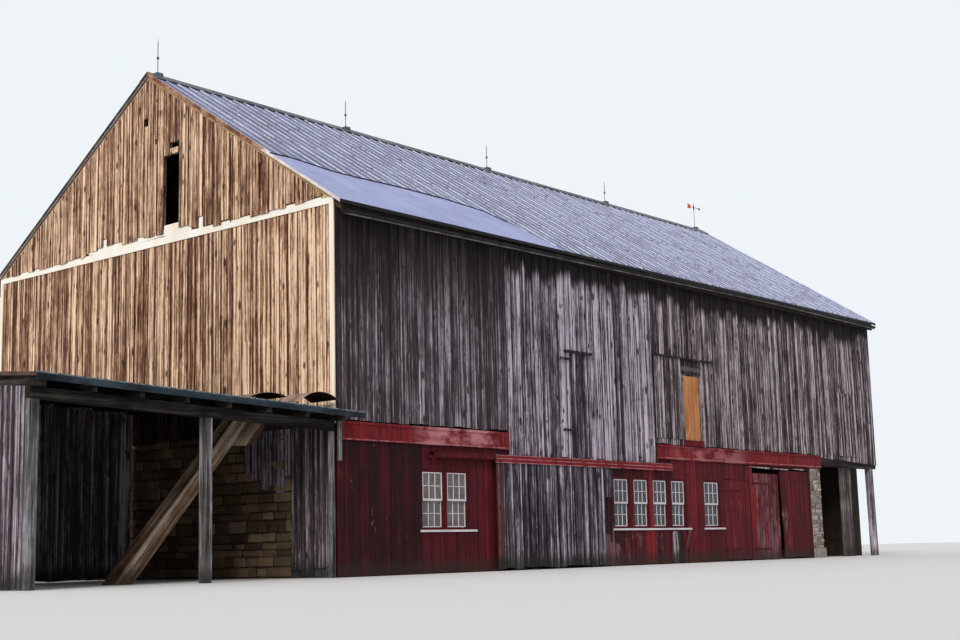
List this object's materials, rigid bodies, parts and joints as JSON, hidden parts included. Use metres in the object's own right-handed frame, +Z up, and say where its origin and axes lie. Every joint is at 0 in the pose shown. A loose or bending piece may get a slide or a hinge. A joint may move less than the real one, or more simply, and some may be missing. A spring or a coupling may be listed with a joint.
{
  "type": "red timber bank barn with lean-to shed",
  "caption": "Old timber barn on a stone and red-board lower storey, with grey board siding, a pitched seamed metal roof, sliding and hinged doors and an open lean-to shed.",
  "frame": {"origin": "on the ground, under the middle of the whole building's box", "axes": "+X along the front wall to the east, +Y from the front wall to the rear, +Z up"},
  "size_m": [28.22, 11.7, 11.4325],
  "materials": {
    "rubble_stone": "rough brown rubble stone in lime mortar",
    "whitewashed_stone": "rubble stone with worn whitewash",
    "red_boards": "peeling deep red paint on boards",
    "red_trim_paint": "faded red paint",
    "grey_boards": "weathered grey rough-sawn boards",
    "tan_boards": "sun-bleached brown boards with dark streaks",
    "brown_boards": "rust-brown weathered trim",
    "cream_paint": "worn cream paint",
    "frame_timber": "hewn brown timber",
    "shed_timber": "grey-brown rough timber",
    "plywood": "raw orange plywood",
    "roof_metal": "dull galvanised sheet with rust specks",
    "smooth_metal": "dull flat galvanised sheet",
    "gutter_metal": "dark weathered metal",
    "shed_metal": "dark green-black painted sheet with rust",
    "iron": "rusted iron",
    "white_paint": "worn white paint",
    "window_pane": "old clear glass"
  },
  "bodies": {
    "barn": {"west_stone_wall": "rubble_stone", "rear_stone_wall": "rubble_stone", "east_stone_wall": "rubble_stone", "stone_pier": "whitewashed_stone", "front_wall_left": "red_boards", "front_wall_middle": "red_boards", "door_posts": "red_boards", "door_heads": "red_boards", "red_trim": "red_trim_paint", "front_siding": "grey_boards", "board_shutters": "grey_boards", "front_ledges": "grey_boards", "rear_siding": "grey_boards", "shed_walls": "grey_boards", "west_wall_boards": "grey_boards", "bay_panel": "grey_boards", "west_gable": "tan_boards", "east_gable": "tan_boards", "edge_boards": "brown_boards", "gable_bands": "cream_paint", "long_timbers": "frame_timber", "frame_posts": "frame_timber", "tie_beams": "frame_timber", "wind_braces": "frame_timber", "loft_joists": "frame_timber", "loft_floor": "frame_timber", "front_rafters": "frame_timber", "rear_rafters": "frame_timber", "girts": "frame_timber", "shed_posts": "shed_timber", "shed_beam": "shed_timber", "shed_rafters": "shed_timber", "hay_chute": "shed_timber", "plywood_door": "plywood", "roof_front": "roof_metal", "roof_rear": "roof_metal", "ridge_cap": "roof_metal", "smooth_roof_sheets": "smooth_metal", "gutters": "gutter_metal", "shed_roof": "shed_metal", "shed_fascia": "shed_metal", "loose_sheets": "shed_metal", "door_track": "iron", "hinge_pintles": "iron", "lightning_rods": "iron", "window_sashes": "white_paint", "window_sills": "white_paint", "window_glass": "window_pane"},
    "grey_left": {"grey_door_left": "grey_boards", "left_door_hangers": "iron"},
    "grey_right": {"grey_door_right": "grey_boards", "right_door_hangers": "iron"},
    "stable": {"stable_door": "red_boards", "stable_door_hinges": "iron"},
    "red_left": {"red_door_left": "red_boards", "left_door_hinges": "iron"},
    "red_right": {"red_door_right": "red_boards", "right_door_hinges": "iron"},
    "vane": {"weather_vane": "iron"}
  },
  "joints": [
    {"name": "grey_left_slide", "type": "slide", "parent": "barn", "child": "grey_left", "axis": [-1, 0, 0], "range_m": [0, 1.85]},
    {"name": "grey_right_slide", "type": "slide", "parent": "barn", "child": "grey_right", "axis": [1, 0, 0], "range_m": [0, 1.85]},
    {"name": "stable_hinge", "type": "hinge", "parent": "barn", "child": "stable", "pos_m": [5.414, -5.549, 1], "axis": [0, 0, -1], "range_deg": [0, 110]},
    {"name": "red_left_hinge", "type": "hinge", "parent": "barn", "child": "red_left", "pos_m": [6.814, -5.549, 1], "axis": [0, 0, -1], "range_deg": [0, 105]},
    {"name": "red_right_hinge", "type": "hinge", "parent": "barn", "child": "red_right", "pos_m": [9.766, -5.549, 1], "axis": [0, 0, 1], "range_deg": [0, 105]},
    {"name": "vane_spin", "type": "hinge", "parent": "barn", "child": "vane", "pos_m": [13.67, 0, 11.2], "axis": [0, 0, 1], "continuous": true}
  ]
}
